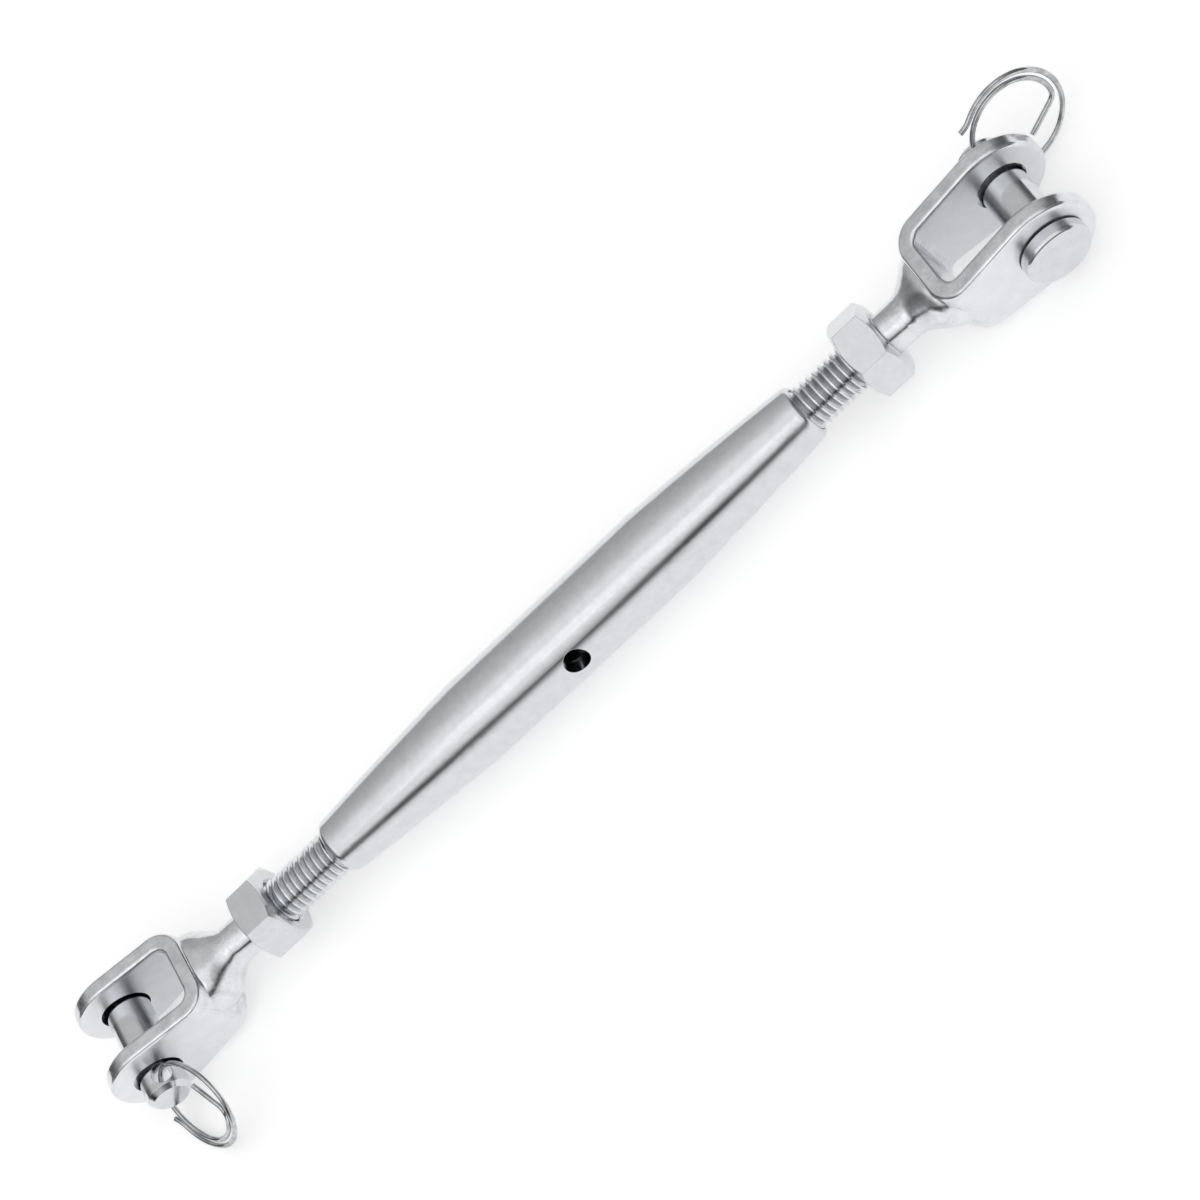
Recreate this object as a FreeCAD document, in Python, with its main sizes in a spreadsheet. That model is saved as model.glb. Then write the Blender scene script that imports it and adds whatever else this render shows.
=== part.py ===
import FreeCAD, Part

# Jaw-and-jaw rigging screw with a closed barrel, lying on the lower edges of its ears.
# Millimetres. X runs along the screw towards the upper jaw, Z is up, and the origin is
# the middle of the barrel, on the axis of the tommy-bar hole.

import math
import os

import Sketcher
from FreeCAD import Placement, Rotation, Vector

# Every driving size: alias, value, meaning
SIZES = [
    ("barrel_length", 105.0, "barrel from end face to end face"),
    ("barrel_diameter", 14.4, "straight middle of the barrel"),
    ("barrel_straight", 40.0, "length of the straight middle"),
    ("barrel_end_diameter", 10.2, "end of the taper, before its rounding"),
    ("barrel_crown_radius", 740.0, "radius of the slightly bulged taper"),
    ("barrel_end_round", 1.3, "length of the rounding at each end"),
    ("barrel_end_ease", 0.13, "how much its radius is longer than that"),
    ("barrel_end_lip", 0.45, "flat ring left round the thread at the end face"),
    ("barrel_bore", 9.0, "clearance bore between the two threads"),
    ("tapped_length", 30.0, "length of each internal thread"),
    ("bar_hole_diameter", 4.5, "tommy-bar hole across the barrel"),
    ("bar_hole_angle", 21.3, "tilt of the bar hole above the horizontal, degrees"),
    ("thread_diameter", 8.0, "outside diameter of the stud's thread"),
    ("thread_pitch", 1.25, "advance of the thread in one turn"),
    ("thread_clearance", 0.05, "radial clearance of thread in barrel and nut"),
    ("stud_chamfer", 1.0, "chamfer at the inner end of the stud"),
    ("shank_diameter", 7.3, "plain shank between thread and jaw"),
    ("stud_length", 83.0, "pin axis to the inner end of the stud"),
    ("thread_start", 27.7, "pin axis to the end of the thread"),
    ("neck_length", 24.0, "pin axis to the start of the flare"),
    ("upper_pin_position", 97.0, "middle of the barrel to the upper pin hole"),
    ("lower_pin_position", 101.0, "middle of the barrel to the lower pin hole"),
    ("nut_flats", 13.0, "lock nut across flats"),
    ("nut_thickness", 6.5, "lock nut thickness"),
    ("nut_face_diameter", 12.4, "round bearing face of the nut"),
    ("nut_chamfer_angle", 30.0, "corner chamfer of the nut, degrees"),
    ("nut_countersink", 0.5, "countersink of the nut's thread"),
    ("upper_nut_back", 0.0, "upper nut to the end of its thread"),
    ("lower_nut_back", 1.1, "lower nut to the end of its thread"),
    ("upper_nut_turn", 17.6, "turn of the upper nut about the screw, degrees"),
    ("lower_nut_turn", 4.8, "turn of the lower nut about the screw, degrees"),
    ("jaw_gap", 10.8, "clear width between the ears"),
    ("ear_thickness", 2.9, "thickness of each ear"),
    ("ear_radius", 9.0, "radius of the ear's tip"),
    ("ear_centre_back", 1.0, "pin axis to the centre of the tip radius"),
    ("ear_flare_angle", 9.0, "half angle by which the ears widen to the tip, degrees"),
    ("ear_edge_round", 0.7, "rounding of the ear's outer edges"),
    ("slot_edge_round", 0.7, "rounding of the ear's inner edges"),
    ("slot_depth", 14.9, "pin axis to the floor of the gap"),
    ("slot_corner_radius", 2.0, "inside corners at the floor of the gap"),
    ("bridge_thickness", 2.9, "wall behind the gap"),
    ("bridge_corner_radius", 4.6, "outside corners of the strap behind the gap"),
    ("flare_root", 15.5, "pin axis to the widest section of the flare, inside the strap's back"),
    ("flare_width", 15.0, "width of that section"),
    ("flare_height", 11.8, "height of that section"),
    ("pin_hole_diameter", 8.8, "hole in the ears"),
    ("pin_diameter", 7.8, "clevis pin"),
    ("pin_rest_gap", 0.1, "gap left under the pin, which rests low in its holes"),
    ("pin_head_diameter", 11.3, "head of the clevis pin"),
    ("pin_head_thickness", 2.3, "thickness of the head"),
    ("pin_head_face", 9.6, "flat face of the head inside its rounded rim"),
    ("pin_head_rim", 0.7, "height of the rounded rim"),
    ("pin_head_ease", 0.1, "how much the rim's radius is longer than the rim is wide"),
    ("pin_head_gap", 0.3, "head to ear"),
    ("pin_reach", 4.8, "end of the pin beyond the far ear"),
    ("pin_end_chamfer", 0.8, "chamfer at the end of the pin"),
    ("ring_hole_diameter", 3.6, "cross hole for the ring"),
    ("ring_hole_reach", 1.8, "ear to the centre of the cross hole"),
    ("upper_pin_turn", 83.5, "turn of the upper pin about its axis, degrees"),
    ("lower_pin_turn", 235.9, "turn of the lower pin about its axis, degrees"),
    ("ring_wire", 0.9, "wire of the split ring"),
    ("ring_radius", 7.6, "inner turn of the ring, to the middle of the wire"),
    ("ring_pitch", 1.3, "growth of the ring over one turn"),
    ("ring_outer_angle", 110.0, "last arc of the outer turn, degrees"),
    ("ring_inner_angle", 17.0, "last arc of the inner turn, degrees"),
    ("ring_hook_radius", 4.0, "outward hook at the outer end"),
    ("ring_hook_angle", 35.0, "angle of that hook, degrees"),
    ("ring_tail_radius", 2.0, "bend of the inner end"),
    ("ring_tail_angle", 64.0, "angle of that bend, degrees"),
    ("ring_tail_length", 5.6, "straight tail after the bend"),
    ("upper_ring_lean", -11.0, "lean of the upper ring in its cross hole, degrees"),
    ("lower_ring_lean", -11.7, "lean of the lower ring in its cross hole, degrees"),
    ("upper_ring_slide", 0.9, "upper ring slid round through its hole, degrees"),
    ("lower_ring_slide", 7.2, "lower ring slid round through its hole, degrees"),
    ("upper_ring_seat", 0.05, "wire of the upper ring to the middle of its cross hole"),
    ("lower_ring_seat", 0.85, "wire of the lower ring to the middle of its cross hole"),
    ("upper_ring_swing", 77.9, "swing of the upper ring from straight out, degrees"),
    ("lower_ring_swing", 23.4, "swing of the lower ring from straight out, degrees"),
]

# How the flare is lofted: sections, how round the last one is, and the course of the flare
LOFT_STEPS = 6
NECK_ROUNDNESS = 0.985
FLARE_STEEPNESS = 1.28
FLARE_DELAY = 0.05

# How near an edge has to lie to a wall to be one of its edges
TOUCH = 1e-4

doc = FreeCAD.newDocument("rigging_screw")
sheet = doc.addObject("Spreadsheet::Sheet", "sizes")
for row, (alias, value, meaning) in enumerate(SIZES, start=1):
    sheet.set("A%d" % row, meaning)
    sheet.set("B%d" % row, str(value))
    sheet.setAlias("B%d" % row, alias)
doc.recompute()


def size(alias):
    """Value of one driving size, read from the sheet."""
    return float(sheet.get(alias))


def origin_plane(body, role):
    """Origin plane of a body, found by its role."""
    return [item for item in body.Origin.OriginFeatures if item.Role == role][0]


def attached_sketch(body, name, role):
    """Empty sketch of a body, lying on one of its origin planes."""
    sketch = body.newObject("Sketcher::SketchObject", name)
    sketch.AttachmentSupport = (origin_plane(body, role), [""])
    sketch.MapMode = "FlatFace"
    return sketch


def arc_between(start, end, radius):
    """Arc that bulges to the left of the way from start to end, or to the right if radius < 0."""
    middle = (start + end) * 0.5
    half = (end - start) * 0.5
    side = Vector(-half.y, half.x, 0).normalize()
    rise = abs(radius) - math.sqrt(radius ** 2 - half.Length ** 2)
    return Part.Arc(start, middle + side * math.copysign(rise, radius), end)


def closed_profile(body, name, role, corners):
    """Closed sketch through corners (x, y) or (x, y, radius of the arc that leads there).

    All entries are expressions, and every corner and radius is bound to the sheet.
    """
    sketch = attached_sketch(body, name, role)
    points = [Vector(body.evalExpression(c[0]), body.evalExpression(c[1]), 0) for c in corners]
    count = len(corners)
    for index in range(count):
        start = points[index - 1]
        end = points[index]
        if len(corners[index]) == 3:
            sketch.addGeometry(arc_between(start, end, body.evalExpression(corners[index][2])), False)
        else:
            sketch.addGeometry(Part.LineSegment(start, end), False)
    # a sketch counts an arc's ends anticlockwise, so an arc that bulges left starts at its end 2
    starts_at = []
    for corner in corners:
        clockwise = len(corner) == 3 and body.evalExpression(corner[2]) > 0
        starts_at.append(2 if clockwise else 1)
    for index in range(count):
        after = (index + 1) % count
        ends_at = 3 - starts_at[index]
        join = Sketcher.Constraint("Coincident", index, ends_at, after, starts_at[after])
        sketch.addConstraint(join)
        for kind, entry, place in (("DistanceX", 0, points[index].x), ("DistanceY", 1, points[index].y)):
            bound = sketch.addConstraint(Sketcher.Constraint(kind, -1, 1, index, ends_at, place))
            sketch.setExpression("Constraints[%d]" % bound, corners[index][entry])
        if len(corners[index]) == 3:
            bend = abs(body.evalExpression(corners[index][2]))
            bound = sketch.addConstraint(Sketcher.Constraint("Radius", index, bend))
            sketch.setExpression("Constraints[%d]" % bound, "abs(%s)" % corners[index][2])
    return sketch


def revolved(body, sketch, axis):
    """Full revolution of a sketch about its own H_Axis or V_Axis."""
    turned = body.newObject("PartDesign::Revolution", "turned")
    turned.Profile = sketch
    turned.ReferenceAxis = (sketch, [axis])
    turned.Angle = 360
    sketch.Visibility = False
    return turned


def cross_hole(body, name, role, diameter, place):
    """Round hole right through a turned body, across its axis, centred at place (x, y)."""
    sketch = attached_sketch(body, name + "_sketch", role)
    centre = Vector(body.evalExpression(place[0]), body.evalExpression(place[1]), 0)
    radius = body.evalExpression(diameter) / 2
    sketch.addGeometry(Part.Circle(centre, Vector(0, 0, 1), radius), False)
    for kind, entry, value in (("DistanceX", 0, centre.x), ("DistanceY", 1, centre.y)):
        bound = sketch.addConstraint(Sketcher.Constraint(kind, -1, 1, 0, 3, value))
        sketch.setExpression("Constraints[%d]" % bound, place[entry])
    bound = sketch.addConstraint(Sketcher.Constraint("Radius", 0, radius))
    sketch.setExpression("Constraints[%d]" % bound, diameter + " / 2")
    hole = body.newObject("PartDesign::Pocket", name)
    hole.Profile = sketch
    hole.Type = "ThroughAll"
    hole.Midplane = True
    sketch.Visibility = False
    return hole


def make_barrel():
    """Turned barrel: straight middle, bulged tapers, two threads and a bar hole."""
    body = doc.addObject("PartDesign::Body", "barrel")
    body.Label = "barrel"
    end = "sizes.barrel_length / 2"
    middle = "sizes.barrel_straight / 2"
    taper = end + " - sizes.barrel_end_round"
    tapped = end + " - sizes.tapped_length"
    outer = "sizes.barrel_diameter / 2"
    tip = "sizes.barrel_end_diameter / 2"
    thread = "sizes.thread_diameter / 2 + sizes.thread_clearance"
    lip = thread + " + sizes.barrel_end_lip"
    bore = "sizes.barrel_bore / 2"
    rounding = "(sizes.barrel_end_round + sizes.barrel_end_ease)"
    right = [
        (middle, outer),
        (taper, tip, "sizes.barrel_crown_radius"),
        (end, lip, rounding),
        (end, thread),
        (tapped, thread),
        (tapped, bore),
    ]
    left = [
        ("-(%s)" % tapped, bore),
        ("-(%s)" % tapped, thread),
        ("-(%s)" % end, thread),
        ("-(%s)" % end, lip),
        ("-(%s)" % taper, tip, rounding),
        ("-(%s)" % middle, outer, "sizes.barrel_crown_radius"),
    ]
    sketch = closed_profile(body, "barrel_profile", "XY_Plane", right + left)
    revolved(body, sketch, "H_Axis")
    cross_hole(body, "bar_hole", "XZ_Plane", "sizes.bar_hole_diameter", ("0", "0"))
    body.setExpression("Placement.Rotation.Axis.x", "1")
    body.setExpression("Placement.Rotation.Axis.z", "0")
    body.setExpression("Placement.Rotation.Angle", "-sizes.bar_hole_angle")
    return body


def make_nut(name, side):
    """Hexagon nut with both faces chamfered, side +1 at the upper end and -1 at the lower."""
    end = "upper" if side > 0 else "lower"
    corner = "sizes.nut_flats / sqrt(3)"
    face = "sizes.nut_face_diameter / 2"
    corner_height = "(%s - %s) * tan(sizes.nut_chamfer_angle * 1 deg)" % (corner, face)
    thread = "sizes.thread_diameter / 2 + sizes.thread_clearance"
    hexagon = doc.addObject("Part::Prism", name + "_hexagon")
    hexagon.Polygon = 6
    hexagon.setExpression("Circumradius", corner)
    hexagon.setExpression("Height", "sizes.nut_thickness")
    low = doc.addObject("Part::Cone", name + "_low_chamfer")
    low.setExpression("Radius1", face)
    low.setExpression("Radius2", corner)
    low.setExpression("Height", corner_height)
    waist = doc.addObject("Part::Cylinder", name + "_waist")
    waist.setExpression("Radius", corner)
    waist.setExpression("Height", "sizes.nut_thickness - 2 * " + corner_height)
    waist.setExpression("Placement.Base.z", corner_height)
    high = doc.addObject("Part::Cone", name + "_high_chamfer")
    high.setExpression("Radius1", corner)
    high.setExpression("Radius2", face)
    high.setExpression("Height", corner_height)
    high.setExpression("Placement.Base.z", "sizes.nut_thickness - " + corner_height)
    turned = doc.addObject("Part::MultiFuse", name + "_turned")
    turned.Shapes = [low, waist, high]
    turned.Refine = True
    blank = doc.addObject("Part::Common", name + "_blank")
    blank.Base = hexagon
    blank.Tool = turned
    bore = doc.addObject("Part::Cylinder", name + "_bore")
    bore.setExpression("Radius", thread)
    bore.setExpression("Height", "sizes.nut_thickness")
    low_sink = doc.addObject("Part::Cone", name + "_low_countersink")
    low_sink.setExpression("Radius1", thread + " + sizes.nut_countersink")
    low_sink.setExpression("Radius2", thread)
    low_sink.setExpression("Height", "sizes.nut_countersink")
    high_sink = doc.addObject("Part::Cone", name + "_high_countersink")
    high_sink.setExpression("Radius1", thread)
    high_sink.setExpression("Radius2", thread + " + sizes.nut_countersink")
    high_sink.setExpression("Height", "sizes.nut_countersink")
    high_sink.setExpression("Placement.Base.z", "sizes.nut_thickness - sizes.nut_countersink")
    opening = doc.addObject("Part::MultiFuse", name + "_opening")
    opening.Shapes = [bore, low_sink, high_sink]
    nut = doc.addObject("Part::Cut", name)
    nut.Base = blank
    nut.Tool = opening
    nut.Label = name
    outer = size(end + "_pin_position") - size("thread_start") - size(end + "_nut_back")
    inner = outer - size("nut_thickness")
    lengthwise = Rotation(Vector(0, 1, 0), 90 * side)
    corner_to_flat = 180 / hexagon.Polygon
    flat_up = Rotation(Vector(1, 0, 0), size(end + "_nut_turn") + corner_to_flat)
    nut.Placement = Placement(Vector(side * inner, 0, 0), flat_up * lengthwise)
    return nut


def rounded_section(place, half_width, half_height, radius):
    """Rounded rectangle across the screw's axis at X = place, as four lines and four arcs."""
    across = half_width - radius
    up = half_height - radius
    edges = []
    for quarter, (y, z) in enumerate([(across, up), (-across, up), (-across, -up), (across, -up)]):
        turn = quarter * 90
        arc = []
        for step in (0, 45, 90):
            angle = math.radians(turn + step)
            arc.append(Vector(place, y + radius * math.cos(angle), z + radius * math.sin(angle)))
        edges.append(Part.Arc(*arc).toShape())
        next_y, next_z = [(-across, up), (-across, -up), (across, -up), (across, up)][quarter]
        leave = math.radians(turn + 90)
        start = Vector(place, next_y + radius * math.cos(leave), next_z + radius * math.sin(leave))
        edges.append(Part.makeLine(arc[2], start))
    return Part.Wire(edges)


def smooth(share):
    """Smooth step from 0 to 1."""
    share = min(max(share, 0.0), 1.0)
    return share * share * (3 - 2 * share)


def ear_half_height(distance):
    """Half height of an ear at a distance inward from the pin axis."""
    flare = math.radians(size("ear_flare_angle"))
    return size("ear_radius") / math.cos(flare) - (distance - size("ear_centre_back")) * math.tan(flare)


def make_flare():
    """Smooth flare from inside the back of the strap down to the round neck."""
    root = size("flare_root")
    neck = size("neck_length")
    shank = size("shank_diameter") / 2
    sections = []
    for step in range(LOFT_STEPS + 1):
        place = root + (neck - root) * step / LOFT_STEPS
        share = smooth((neck - place) / (neck - root) * FLARE_STEEPNESS - FLARE_DELAY)
        half_width = shank + (size("flare_width") / 2 - shank) * share
        half_height = shank + (size("flare_height") / 2 - shank) * share
        radius = NECK_ROUNDNESS * min(half_width, half_height)
        sections.append(rounded_section(-place, half_width, half_height, radius))
    return Part.makeLoft(sections, True, False)


def side_outline():
    """Outline of an ear and the strap's back seen from the side, as a wire at Y = 0."""
    radius = size("ear_radius")
    back = size("ear_centre_back")
    end = size("slot_depth") + size("bridge_thickness")
    flare = math.radians(size("ear_flare_angle"))
    touch = Vector(-back - radius * math.sin(flare), 0, radius * math.cos(flare))
    root = Vector(-end, 0, ear_half_height(end))
    tip = Vector(radius - back, 0, 0)
    low_touch = Vector(touch.x, 0, -touch.z)
    low_root = Vector(root.x, 0, -root.z)
    return Part.Wire([
        Part.makeLine(low_root, low_touch),
        Part.Arc(low_touch, tip, touch).toShape(),
        Part.makeLine(touch, root),
        Part.makeLine(root, low_root),
    ])


def upright_block(length_behind, half_width, corner_radius):
    """Tall block from beyond the tip to a back with two round upright corners."""
    reach = 2 * size("ear_radius")
    block = Part.makeBox(
        length_behind + reach, 2 * half_width, 2 * reach, Vector(-length_behind, -half_width, -reach))
    corners = [
        edge for edge in block.Edges
        if edge.BoundBox.ZLength > reach and edge.BoundBox.XMax < 0
    ]
    return block.makeFillet(corner_radius, corners)


def rim_edges(strap, half_width, back):
    """Edges of the strap's rims that lie on an upright wall at +-half_width or on its back."""
    found = []
    for edge in strap.Edges:
        box = edge.BoundBox
        on_side = box.YLength < TOUCH and abs(abs(box.YMin) - half_width) < TOUCH
        on_back = abs(box.XMin + back) < TOUCH and box.ZLength < size("ear_radius")
        runs_along = box.XLength > size("ear_edge_round")
        if (on_side and runs_along) or on_back:
            found.append(edge)
    return found


def make_strap():
    """Both ears and the bridge behind them as one U-shaped strap with rounded rims."""
    half_gap = size("jaw_gap") / 2
    outer = half_gap + size("ear_thickness")
    depth = size("slot_depth")
    back = depth + size("bridge_thickness")
    side = Part.Face(side_outline())
    side.translate(Vector(0, -outer, 0))
    block = side.extrude(Vector(0, 2 * outer, 0))
    strap = block.common(upright_block(back, outer, size("bridge_corner_radius")))
    strap = strap.makeFillet(size("ear_edge_round"), rim_edges(strap, outer, back))
    strap = strap.cut(upright_block(depth, half_gap, size("slot_corner_radius")))
    return strap.makeFillet(size("slot_edge_round"), rim_edges(strap, half_gap, depth))


def make_stud():
    """Shank and threaded stud of a jaw, running inward from the neck along -X."""
    shank = size("shank_diameter") / 2
    thread = size("thread_diameter") / 2
    chamfer = size("stud_chamfer")
    neck = size("neck_length")
    start = size("thread_start")
    length = size("stud_length")
    inward = Vector(-1, 0, 0)
    plain = Part.makeCylinder(shank, start - neck, Vector(-neck, 0, 0), inward)
    run_out = size("thread_pitch")
    taper = Part.makeCone(shank, thread, run_out, Vector(-start, 0, 0), inward)
    straight_length = length - start - run_out - chamfer
    straight = Part.makeCylinder(thread, straight_length, Vector(-start - run_out, 0, 0), inward)
    tip = Part.makeCone(thread, thread - chamfer, chamfer, Vector(chamfer - length, 0, 0), inward)
    return plain.multiFuse([taper, straight, tip])


def make_jaw(name, side):
    """Forged jaw and its stud in one piece, side +1 at the upper end and -1 at the lower."""
    end = "upper" if side > 0 else "lower"
    outer = size("jaw_gap") / 2 + size("ear_thickness")
    hole_start = Vector(0, -2 * outer, 0)
    hole = Part.makeCylinder(size("pin_hole_diameter") / 2, 4 * outer, hole_start, Vector(0, 1, 0))
    shape = make_strap().cut(hole).fuse(make_flare()).fuse(make_stud()).removeSplitter()
    jaw = doc.addObject("Part::Feature", name)
    jaw.Label = name
    jaw.Shape = shape.Solids[0]
    turn = Rotation(Vector(0, 0, 1), 0 if side > 0 else 180)
    jaw.Placement = Placement(Vector(side * size(end + "_pin_position"), 0, 0), turn)
    return jaw


def pin_placement(side):
    """Placement of a clevis pin: low in its holes, and turned about its own axis."""
    end = "upper" if side > 0 else "lower"
    drop = size("pin_hole_diameter") / 2 - size("pin_diameter") / 2 - size("pin_rest_gap")
    base = Vector(side * size(end + "_pin_position"), 0, -drop)
    facing = Rotation(Vector(0, 0, 1), 0 if side > 0 else 180)
    return Placement(base, facing * Rotation(Vector(0, 1, 0), size(end + "_pin_turn")))


def make_clevis_pin(name, side):
    """Turned pin along Y, with its head at -Y and the cross hole for the ring at +Y."""
    body = doc.addObject("PartDesign::Body", name)
    body.Label = name
    ear = "(sizes.jaw_gap / 2 + sizes.ear_thickness)"
    under_head = "-(%s + sizes.pin_head_gap)" % ear
    face = under_head + " - sizes.pin_head_thickness"
    rim_radius = "((sizes.pin_head_diameter - sizes.pin_head_face) / 2 + sizes.pin_head_ease)"
    rim = face + " + sizes.pin_head_rim"
    end = ear + " + sizes.pin_reach"
    radius = "sizes.pin_diameter / 2"
    corners = [
        ("0", face),
        ("sizes.pin_head_face / 2", face),
        ("sizes.pin_head_diameter / 2", rim, "-" + rim_radius),
        ("sizes.pin_head_diameter / 2", under_head),
        (radius, under_head),
        (radius, end + " - sizes.pin_end_chamfer"),
        (radius + " - sizes.pin_end_chamfer", end),
        ("0", end),
    ]
    sketch = closed_profile(body, name + "_profile", "XY_Plane", corners)
    revolved(body, sketch, "V_Axis")
    hole_place = (ear + " + sizes.ring_hole_reach", "0")
    cross_hole(body, name + "_hole", "YZ_Plane", "sizes.ring_hole_diameter", hole_place)
    body.Placement = pin_placement(side)
    return body


def arc_run(start, heading, radius, angle):
    """Tangent arc in the XY plane from start along heading; a positive angle bends left."""
    turn = math.radians(angle)
    left = Vector(-heading.y, heading.x, 0) * math.copysign(1, angle)
    centre = start + left * radius
    middle = centre - Rotation(Vector(0, 0, 1), angle / 2).multVec(left) * radius
    end = centre - Rotation(Vector(0, 0, 1), angle).multVec(left) * radius
    new_heading = Vector(
        heading.x * math.cos(turn) - heading.y * math.sin(turn),
        heading.x * math.sin(turn) + heading.y * math.cos(turn),
        0,
    )
    return Part.Arc(start, middle, end).toShape(), end, new_heading


def ring_path():
    """Flat spiral of tangent arcs through the origin, where it runs along Y."""
    radius = size("ring_radius")
    growth = size("ring_pitch") / 2
    outer_arcs = [
        (radius + growth, -180),
        (radius + 2 * growth, -size("ring_outer_angle")),
        (size("ring_hook_radius"), size("ring_hook_angle")),
    ]
    inner_arcs = [
        (radius, 180),
        (radius - growth, size("ring_inner_angle")),
        (size("ring_tail_radius"), size("ring_tail_angle")),
    ]
    place = Vector(0, 0, 0)
    heading = Vector(0, 1, 0)
    outer_edges = []
    for bend, angle in outer_arcs:
        edge, place, heading = arc_run(place, heading, bend, angle)
        outer_edges.append(edge)
    place = Vector(0, 0, 0)
    heading = Vector(0, -1, 0)
    inner_edges = []
    for bend, angle in inner_arcs:
        edge, place, heading = arc_run(place, heading, bend, angle)
        inner_edges.append(edge)
    tail_end = place + heading * size("ring_tail_length")
    tail = Part.makeLine(place, tail_end)
    return Part.Wire([tail] + inner_edges[::-1] + outer_edges), tail_end, heading


def make_split_ring(name, side):
    """Wire ring that passes through the pin's cross hole, swung from straight out."""
    end = "upper" if side > 0 else "lower"
    path, start, heading = ring_path()
    section = Part.Wire([Part.makeCircle(size("ring_wire") / 2, start, heading)])
    ring = doc.addObject("Part::Feature", name)
    ring.Label = name
    ring.Shape = path.makePipeShell([section], True, False)
    swing = math.radians(size(end + "_ring_swing"))
    hole_place = size("jaw_gap") / 2 + size("ear_thickness") + size("ring_hole_reach")
    outward = Vector(0, math.cos(swing), math.sin(swing))
    through = Vector(1, 0, 0)
    level = Rotation(outward, through, outward.cross(through), "XYZ")
    lean = Rotation(Vector(1, 0, 0), size(end + "_ring_lean"))
    slide = Rotation(Vector(0, 0, 1), size(end + "_ring_slide"))
    base = Vector(0, hole_place, 0) - outward * size(end + "_ring_seat")
    ring.Placement = pin_placement(side) * Placement(base, level * lean * slide)
    return ring


nodes = [make_barrel()]
for end_name, end_side in (("upper", 1), ("lower", -1)):
    nodes.append(make_jaw(end_name + "_jaw", end_side))
    nodes.append(make_nut(end_name + "_lock_nut", end_side))
    nodes.append(make_clevis_pin(end_name + "_clevis_pin", end_side))
    nodes.append(make_split_ring(end_name + "_split_ring", end_side))
doc.recompute()

for item in doc.Objects:
    if "Invalid" in item.State or "Error" in item.State:
        raise RuntimeError("%s did not recompute: %s" % (item.Name, item.State))

os.makedirs("parts", exist_ok=True)
for node in nodes:
    if node.Shape.isNull() or not node.Shape.isValid():
        raise RuntimeError("%s has no valid shape" % node.Label)
    node.Shape.exportStep("parts/%s.step" % node.Label)
    print(node.Label, "volume %.1f" % node.Shape.Volume, "solids", len(node.Shape.Solids))
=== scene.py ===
import math

import bmesh
import bpy
from mathutils import Matrix, Vector


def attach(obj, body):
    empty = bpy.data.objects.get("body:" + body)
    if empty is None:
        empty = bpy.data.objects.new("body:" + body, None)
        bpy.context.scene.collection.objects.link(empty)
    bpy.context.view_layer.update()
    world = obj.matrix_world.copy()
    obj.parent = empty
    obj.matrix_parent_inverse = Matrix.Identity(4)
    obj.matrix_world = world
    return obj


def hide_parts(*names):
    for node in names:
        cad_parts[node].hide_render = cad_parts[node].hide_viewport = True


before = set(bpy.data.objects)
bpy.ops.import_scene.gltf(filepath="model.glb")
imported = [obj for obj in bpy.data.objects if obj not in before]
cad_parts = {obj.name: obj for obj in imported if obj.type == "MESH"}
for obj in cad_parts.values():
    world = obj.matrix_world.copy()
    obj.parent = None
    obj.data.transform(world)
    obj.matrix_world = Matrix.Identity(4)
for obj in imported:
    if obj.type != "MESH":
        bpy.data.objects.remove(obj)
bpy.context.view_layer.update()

# Sizes in metres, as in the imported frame
FLOOR_HEIGHT = -0.0090
THREAD_RADIUS = 0.00395
THREAD_PITCH = 0.00125
THREAD_DEPTH = 0.00072
SHANK_RADIUS = 0.00365
STUD_LENGTH = 0.0830
STUD_CHAMFER = 0.0010
THREAD_START = 0.0277
# Thread profile in pitches from the middle of the crest: end of the flat crest, start of the root
THREAD_CREST_END = 0.12
THREAD_ROOT_START = 0.42
# How many pitches the thread takes to rise out of the shank
THREAD_FADE = 1.2
UPPER_PIN = 0.0970
LOWER_PIN = 0.1010

# Camera: where it stands, where it looks, and which way is up in the picture
CAMERA_PLACE = Vector((0.136187, -0.261231, 0.402486))
CAMERA_FORWARD = Vector((-0.25836, 0.52655, -0.80994))
CAMERA_UP = Vector((0.66054, 0.70808, 0.24962))
PICTURE_PIXELS = 1200
FOCAL_PIXELS = 3162.1
SENSOR_WIDTH = 36.0

# Floor: half its width, its colour, and what it lacks to full white
FLOOR_REACH = 3.0
FLOOR_WHITE = (0.93, 0.93, 0.93, 1)
FLOOR_LIFT = 0.40

# Key lamp above and in front of the object
KEY_PLACE = (-0.15, -0.33, 0.58)
KEY_WIDTH = 0.45
KEY_HEIGHT = 0.25
KEY_WATTS = 0.10

# Tent: level of its open ends, how far to the side they begin and are fully open, and its brightness
# by degrees of height, from the horizon in front over the top to the horizon behind
TENT_END_LEVEL = 0.25
TENT_END_BEGIN = 0.60
TENT_END_OPEN = 0.80
TENT = [
    (0, 0.90), (9, 0.90), (15, 0.02), (27, 0.02), (35, 1.0), (60, 1.1), (86, 1.1), (103, 0.76),
    (118, 0.64), (133, 0.56), (150, 0.49), (172, 0.42),
]

# Steel: scale, detail and roughness of its patches, their share on a jaw's sides, how squarely a face
# has to look sideways to begin to be one and to be one fully, the colour of the painted shade and oil
# at the bottom of the thread's grooves, and the depth in a groove, as a share, from which it shows
PATCHES = (420, 5, 0.7)
SIDE_PATCHES = 0.3
SIDE_BEGIN = 0.80
SIDE_FULL = 0.97
GROOVE_SHADE_AND_OIL = (0.20, 0.205, 0.21, 1)
GROOVE_START = 0.85


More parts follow.
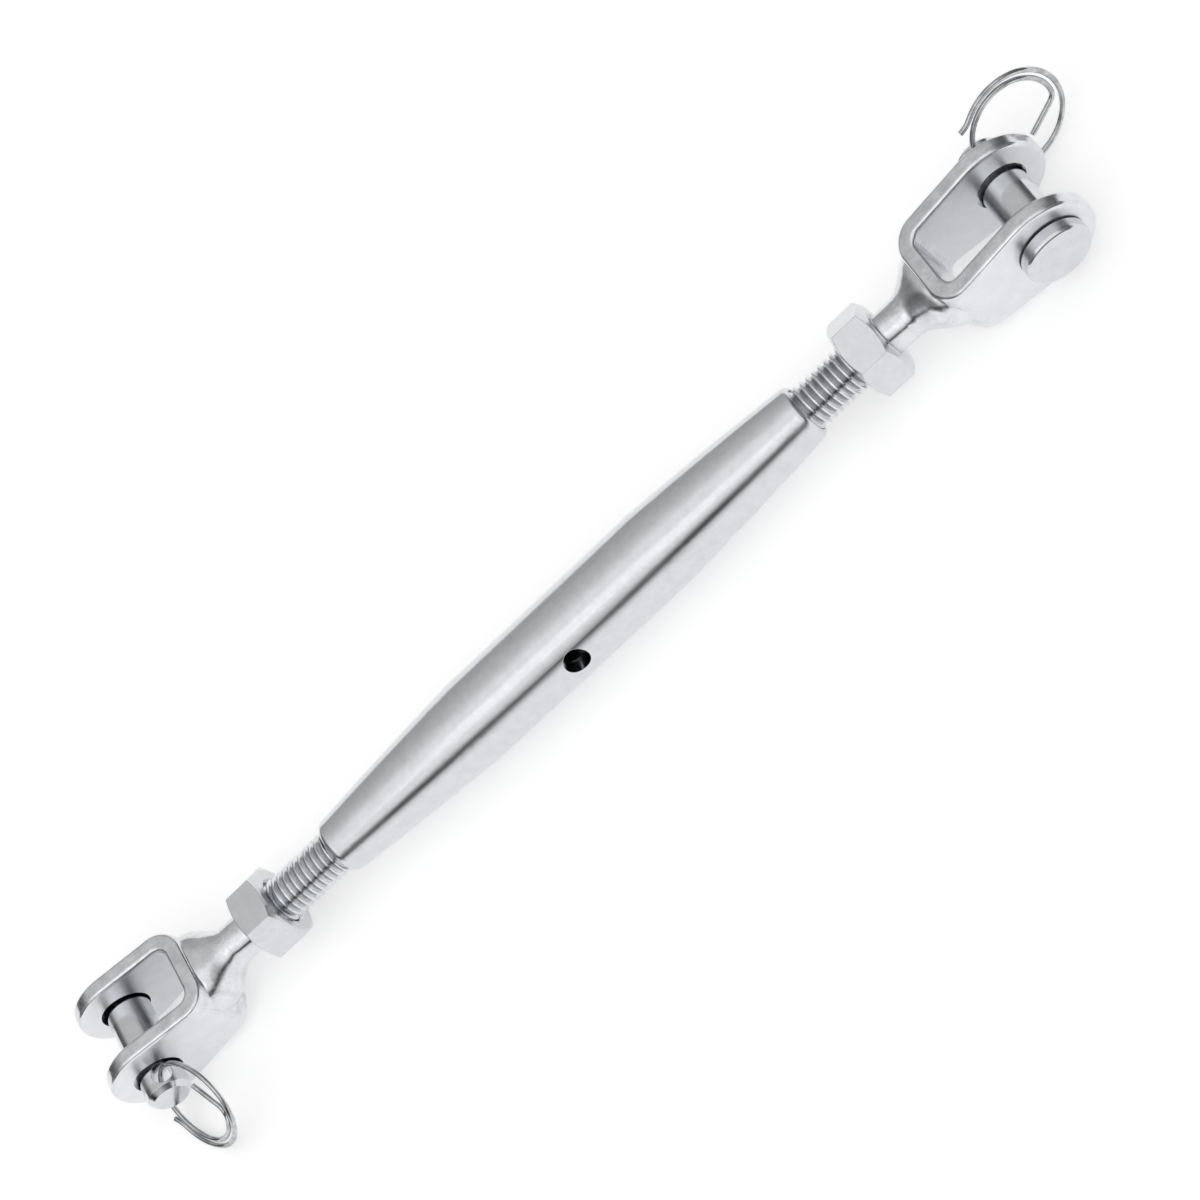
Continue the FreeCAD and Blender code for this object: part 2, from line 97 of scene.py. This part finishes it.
def make_camera():
    data = bpy.data.cameras.new("camera")
    data.sensor_width = SENSOR_WIDTH
    data.lens = FOCAL_PIXELS / PICTURE_PIXELS * SENSOR_WIDTH
    data.clip_start = 0.01
    camera = bpy.data.objects.new("camera", data)
    bpy.context.scene.collection.objects.link(camera)
    backward = -CAMERA_FORWARD.normalized()
    right = CAMERA_UP.cross(backward).normalized()
    up = backward.cross(right)
    turn = Matrix((right, up, backward)).transposed().to_4x4()
    camera.matrix_world = Matrix.Translation(CAMERA_PLACE) @ turn
    bpy.context.scene.camera = camera


def add_node(tree, kind, **inputs):
    """New shader node with some of its inputs set by name."""
    node = tree.nodes.new(kind)
    for name, value in inputs.items():
        node.inputs[name.replace("_", " ")].default_value = value
    return node


def object_coordinates(tree, scale):
    """Object coordinates, stretched by scale."""
    place = tree.nodes.new("ShaderNodeTexCoord")
    mapping = tree.nodes.new("ShaderNodeMapping")
    mapping.inputs["Scale"].default_value = scale
    tree.links.new(place.outputs["Object"], mapping.inputs["Vector"])
    return mapping.outputs["Vector"]


def noise(tree, scale, detail, roughness, stretch=(1, 1, 1)):
    """Noise value over the object, from 0 to 1."""
    texture = add_node(tree, "ShaderNodeTexNoise", Scale=scale, Detail=detail, Roughness=roughness)
    tree.links.new(object_coordinates(tree, stretch), texture.inputs["Vector"])
    return texture.outputs["Fac"]


def spread(tree, value, start, end, low, high):
    """Maps a value between start and end onto low to high, and no further."""
    node = add_node(
        tree, "ShaderNodeMapRange", From_Min=start, From_Max=end, To_Min=low, To_Max=high)
    tree.links.new(value, node.inputs["Value"])
    return node.outputs["Result"]


def multiply(tree, value, factor):
    node = tree.nodes.new("ShaderNodeMath")
    node.operation = "MULTIPLY"
    tree.links.new(value, node.inputs[0])
    tree.links.new(factor, node.inputs[1])
    return node.outputs["Value"]


def side_share(tree):
    """1 on the flat sides of a jaw, that face along Y, falling to 0 on its edges and neck."""
    place = tree.nodes.new("ShaderNodeTexCoord")
    parts = tree.nodes.new("ShaderNodeSeparateXYZ")
    tree.links.new(place.outputs["Normal"], parts.inputs["Vector"])
    size = tree.nodes.new("ShaderNodeMath")
    size.operation = "ABSOLUTE"
    tree.links.new(parts.outputs["Y"], size.inputs[0])
    return spread(tree, size.outputs["Value"], SIDE_BEGIN, SIDE_FULL, 0, 1)


def paint_groove_shade_and_oil(tree, colour):
    """Mixes painted shade and oil into a colour at the bottom of the thread's grooves, where the mesh
    marks them.
    """
    marks = tree.nodes.new("ShaderNodeAttribute")
    marks.attribute_name = "groove"
    mixed = tree.nodes.new("ShaderNodeMix")
    mixed.data_type = "RGBA"
    tree.links.new(spread(tree, marks.outputs["Fac"], GROOVE_START, 1, 0, 1), mixed.inputs["Factor"])
    tree.links.new(colour.outputs["Result"], mixed.inputs["A"])
    mixed.inputs["B"].default_value = GROOVE_SHADE_AND_OIL
    return mixed


def make_steel(name, dark, light, rough, grain, dents, edge, sides=None):
    """Stainless steel: clouded colour, uneven roughness, a fine grain and soft dents.

    rough is (least, most), grain is (scale, stretch, depth), dents is (scale, depth) and edge is how
    round the sharp edges look. With sides, a roughness and a share, the flat sides of a jaw are that
    smooth and keep that share of the grain, and the grooves of its thread get painted shade and oil.
    """
    material = bpy.data.materials.new(name)
    material.use_nodes = True
    tree = material.node_tree
    shader = tree.nodes["Principled BSDF"]
    shader.inputs["Metallic"].default_value = 1.0
    cloud = noise(tree, *PATCHES)
    lines = noise(tree, grain[0], 3, 0.6, grain[1])
    patches = spread(tree, cloud, 0.35, 0.65, 1, 0)
    roughness = spread(tree, lines, 0.3, 0.7, rough[0], rough[1])
    dent_height = noise(tree, dents[0], 2, 0.5)
    grain_height = lines
    if sides:
        share = side_share(tree)
        blend = tree.nodes.new("ShaderNodeMix")
        tree.links.new(share, blend.inputs["Factor"])
        tree.links.new(roughness, blend.inputs["A"])
        blend.inputs["B"].default_value = sides[0]
        roughness = blend.outputs["Result"]
        keep = spread(tree, share, 0, 1, 1, sides[1])
        grain_height = multiply(tree, lines, keep)
        dent_height = multiply(tree, dent_height, keep)
        patches = multiply(tree, patches, spread(tree, share, 0, 1, 1, SIDE_PATCHES))
    colour = tree.nodes.new("ShaderNodeMix")
    colour.data_type = "RGBA"
    colour.inputs["A"].default_value = (*light, 1)
    colour.inputs["B"].default_value = (*dark, 1)
    tree.links.new(patches, colour.inputs["Factor"])
    # Jaws only: painted shade and oil at the bottom of the thread's grooves
    if sides:
        colour = paint_groove_shade_and_oil(tree, colour)
    tree.links.new(colour.outputs["Result"], shader.inputs["Base Color"])
    tree.links.new(roughness, shader.inputs["Roughness"])
    worn = add_node(tree, "ShaderNodeBevel", Radius=edge)
    worn.samples = 4
    soft = add_node(tree, "ShaderNodeBump", Strength=1.0, Distance=dents[1])
    tree.links.new(dent_height, soft.inputs["Height"])
    tree.links.new(worn.outputs["Normal"], soft.inputs["Normal"])
    fine = add_node(tree, "ShaderNodeBump", Strength=1.0, Distance=grain[2])
    tree.links.new(grain_height, fine.inputs["Height"])
    tree.links.new(soft.outputs["Normal"], fine.inputs["Normal"])
    tree.links.new(fine.outputs["Normal"], shader.inputs["Normal"])
    return material


def make_materials():
    grey = (0.66, 0.67, 0.69)
    pale = (0.72, 0.73, 0.75)
    jaw_grey = (0.64, 0.65, 0.67)
    jaw_pale = (0.81, 0.82, 0.84)
    wire_dark = (0.34, 0.35, 0.36)
    wire_light = (0.66, 0.67, 0.68)
    even = (1, 1, 1)
    lengthwise = (0.04, 1, 1)
    return {
        "barrel": make_steel(
            "turned_steel", grey, pale, rough=(0.14, 0.24), grain=(1100, lengthwise, 4e-6),
            dents=(90, 1.6e-5), edge=1e-4),
        # The jaw steel also paints shade and oil into its thread's grooves
        "jaw": make_steel(
            "tumbled_steel", jaw_grey, jaw_pale, rough=(0.13, 0.24), grain=(1600, even, 5e-6),
            dents=(190, 1.4e-4), edge=5e-5, sides=(0.34, 0.08)),
        "nut": make_steel(
            "plated_nut_steel", grey, pale, rough=(0.16, 0.24), grain=(1400, even, 1.2e-6),
            dents=(160, 1.5e-5), edge=2e-4),
        "pin": make_steel(
            "polished_pin_steel", grey, pale, rough=(0.10, 0.18), grain=(1500, even, 1e-6),
            dents=(200, 0.8e-5), edge=1e-4),
        "wire": make_steel(
            "drawn_wire_steel", wire_dark, wire_light, rough=(0.08, 0.16), grain=(1500, even, 1e-6),
            dents=(200, 2e-6), edge=5e-5),
    }


def paint(thing, material):
    """Gives a mesh object one material all over."""
    thing.data.materials.clear()
    thing.data.materials.append(material)


def shade(thing, angle):
    """Smooth shading that keeps edges sharper than angle in degrees."""
    bpy.ops.object.select_all(action="DESELECT")
    thing.select_set(True)
    bpy.context.view_layer.objects.active = thing
    bpy.ops.object.shade_smooth_by_angle(angle=math.radians(angle))


def thread_height(phase):
    """Radius of the thread at a place counted in pitches: flat crest, sloped flanks, flat root."""
    distance = abs(phase - round(phase))
    if distance <= THREAD_CREST_END:
        return THREAD_RADIUS
    if distance >= THREAD_ROOT_START:
        return THREAD_RADIUS - THREAD_DEPTH
    share = (distance - THREAD_CREST_END) / (THREAD_ROOT_START - THREAD_CREST_END)
    return THREAD_RADIUS - THREAD_DEPTH * share


def make_thread(name, start, end, hand):
    """Helical thread along -X from start to end, hand +1 for right-hand and -1 for left-hand."""
    rows_per_pitch = 10
    columns = 64
    fade = THREAD_FADE * THREAD_PITCH
    mesh = bmesh.new()
    grooves = mesh.verts.layers.float.new("groove")
    first = int((start - THREAD_PITCH) / THREAD_PITCH * rows_per_pitch)
    last = int((end + 2 * THREAD_PITCH) / THREAD_PITCH * rows_per_pitch)
    grid = []
    for row in range(first, last + 1):
        ring = []
        for column in range(columns):
            turn = column / columns
            along = (row / rows_per_pitch + turn) * THREAD_PITCH
            place = min(max(along, start), end)
            radius = thread_height(row / rows_per_pitch)
            run_in = min((place - start) / fade, 1)
            radius = SHANK_RADIUS + (radius - SHANK_RADIUS) * run_in
            radius = min(radius, THREAD_RADIUS - STUD_CHAMFER + (end - place))
            angle = -hand * turn * 2 * math.pi
            point = Vector((-place, radius * math.cos(angle), radius * math.sin(angle)))
            ring.append(mesh.verts.new(point))
            # Depth share in the groove, which marks where the painted shade and oil go
            ring[-1][grooves] = (THREAD_RADIUS - radius) / THREAD_DEPTH
        grid.append(ring)
    for row in range(len(grid) - 1):
        for column in range(columns):
            across = (column + 1) % columns
            shift = rows_per_pitch if across == 0 else 0
            if row + 1 + shift >= len(grid):
                continue
            corners = [
                grid[row][column],
                grid[row + 1][column],
                grid[row + 1 + shift][across],
                grid[row + shift][across],
            ]
            mesh.faces.new(corners)
    bmesh.ops.remove_doubles(mesh, verts=mesh.verts, dist=1e-7)
    bmesh.ops.dissolve_degenerate(mesh, edges=mesh.edges, dist=1e-7)
    bmesh.ops.recalc_face_normals(mesh, faces=mesh.faces)
    data = bpy.data.meshes.new(name)
    mesh.to_mesh(data)
    mesh.free()
    return data


def make_jaw(node, side, hand, material):
    """Copy of a packed jaw whose plain stud is cut off and replaced by a threaded one."""
    pin = UPPER_PIN if side > 0 else LOWER_PIN
    to_local = Matrix.Translation((-side * pin, 0, 0))
    if side < 0:
        to_local = Matrix.Rotation(math.pi, 4, "Z") @ to_local
    mesh = bmesh.new()
    mesh.from_mesh(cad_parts[node].data)
    mesh.verts.layers.float.new("groove")
    mesh.transform(to_local)
    bmesh.ops.remove_doubles(mesh, verts=mesh.verts, dist=1e-6)
    everything = mesh.verts[:] + mesh.edges[:] + mesh.faces[:]
    bmesh.ops.bisect_plane(
        mesh, geom=everything, plane_co=(-THREAD_START, 0, 0), plane_no=(-1, 0, 0), clear_outer=True)
    mesh.from_mesh(make_thread(node + "_thread", THREAD_START, STUD_LENGTH, hand))
    mesh.transform(to_local.inverted())
    data = bpy.data.meshes.new(node + "_with_thread")
    mesh.to_mesh(data)
    mesh.free()
    packed_normals = data.attributes.get("custom_normal")
    if packed_normals:
        data.attributes.remove(packed_normals)
    jaw = bpy.data.objects.new(node + "_with_thread", data)
    bpy.context.scene.collection.objects.link(jaw)
    paint(jaw, material)
    shade(jaw, 35)
    flat_faces = jaw.modifiers.new("flat_faces", "WEIGHTED_NORMAL")
    flat_faces.keep_sharp = True
    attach(jaw, node)
    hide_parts(node)


def finish_nodes(materials):
    """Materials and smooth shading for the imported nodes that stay."""
    looks = {
        "barrel": ("barrel", 30),
        "upper_lock_nut": ("nut", 25),
        "lower_lock_nut": ("nut", 25),
        "upper_clevis_pin": ("pin", 30),
        "lower_clevis_pin": ("pin", 30),
        "upper_split_ring": ("wire", 60),
        "lower_split_ring": ("wire", 60),
    }
    for node, (look, angle) in looks.items():
        paint(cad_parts[node], materials[look])
        shade(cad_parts[node], angle)


def backdrop_rays(tree):
    """1 for the rays that show the background: seen by the camera, in metal or through glass."""
    path = tree.nodes.new("ShaderNodeLightPath")
    seen = path.outputs["Is Camera Ray"]
    for other in ("Is Glossy Ray", "Is Transmission Ray"):
        both = tree.nodes.new("ShaderNodeMath")
        both.operation = "MAXIMUM"
        tree.links.new(seen, both.inputs[0])
        tree.links.new(path.outputs[other], both.inputs[1])
        seen = both.outputs["Value"]
    return seen


def make_floor():
    """White floor; what it lacks to full white is added only for the rays that show the background."""
    data = bpy.data.meshes.new("floor")
    low, high = -FLOOR_REACH, FLOOR_REACH
    corners = [(low, low), (high, low), (high, high), (low, high)]
    data.from_pydata([(x, y, FLOOR_HEIGHT) for x, y in corners], [], [(0, 1, 2, 3)])
    floor = bpy.data.objects.new("floor", data)
    bpy.context.scene.collection.objects.link(floor)
    material = bpy.data.materials.new("floor_white")
    material.use_nodes = True
    tree = material.node_tree
    shader = tree.nodes["Principled BSDF"]
    shader.inputs["Base Color"].default_value = FLOOR_WHITE
    shader.inputs["Roughness"].default_value = 0.9
    shader.inputs["Specular IOR Level"].default_value = 0.0
    shader.inputs["Emission Color"].default_value = (1, 1, 1, 1)
    lift = spread(tree, backdrop_rays(tree), 0, 1, 0, FLOOR_LIFT)
    tree.links.new(lift, shader.inputs["Emission Strength"])
    data.materials.append(material)


def make_key():
    """Rectangular lamp that shines on the middle of the object."""
    data = bpy.data.lights.new("key", "AREA")
    data.shape = "RECTANGLE"
    data.size = KEY_WIDTH
    data.size_y = KEY_HEIGHT
    data.energy = KEY_WATTS
    lamp = bpy.data.objects.new("key", data)
    bpy.context.scene.collection.objects.link(lamp)
    lamp.location = KEY_PLACE
    lamp.rotation_euler = (-Vector(KEY_PLACE)).to_track_quat("-Z", "Y").to_euler()


def make_world():
    """Soft tent along the object: white in front and above, greyer behind, with one long dark flag
    in front and darker open ends."""
    world = bpy.data.worlds.new("studio")
    world.use_nodes = True
    tree = world.node_tree
    place = tree.nodes.new("ShaderNodeTexCoord")
    parts = tree.nodes.new("ShaderNodeSeparateXYZ")
    tree.links.new(place.outputs["Generated"], parts.inputs["Vector"])
    front = tree.nodes.new("ShaderNodeMath")
    front.operation = "MULTIPLY"
    front.inputs[1].default_value = -1
    tree.links.new(parts.outputs["Y"], front.inputs[0])
    height = tree.nodes.new("ShaderNodeMath")
    height.operation = "ARCTAN2"
    tree.links.new(parts.outputs["Z"], height.inputs[0])
    tree.links.new(front.outputs["Value"], height.inputs[1])
    ramp = tree.nodes.new("ShaderNodeValToRGB")
    ramp.color_ramp.interpolation = "B_SPLINE"
    stops = ramp.color_ramp.elements
    for degrees, _ in TENT[2:]:
        stops.new(degrees / 180)
    for stop, (degrees, level) in zip(stops, TENT):
        stop.position = degrees / 180
        stop.color = (level, level, level, 1)
    tree.links.new(spread(tree, height.outputs["Value"], 0, math.pi, 0, 1), ramp.inputs["Fac"])
    side = tree.nodes.new("ShaderNodeMath")
    side.operation = "ABSOLUTE"
    tree.links.new(parts.outputs["X"], side.inputs[0])
    open_ends = spread(tree, side.outputs["Value"], TENT_END_BEGIN, TENT_END_OPEN, 1, TENT_END_LEVEL)
    tree.links.new(ramp.outputs["Color"], tree.nodes["Background"].inputs["Color"])
    tree.links.new(open_ends, tree.nodes["Background"].inputs["Strength"])
    bpy.context.scene.world = world


make_camera()
bpy.context.scene.view_settings.view_transform = "Standard"
materials = make_materials()
finish_nodes(materials)
make_jaw("upper_jaw", 1, 1, materials["jaw"])
make_jaw("lower_jaw", -1, -1, materials["jaw"])
make_floor()
make_world()
make_key()
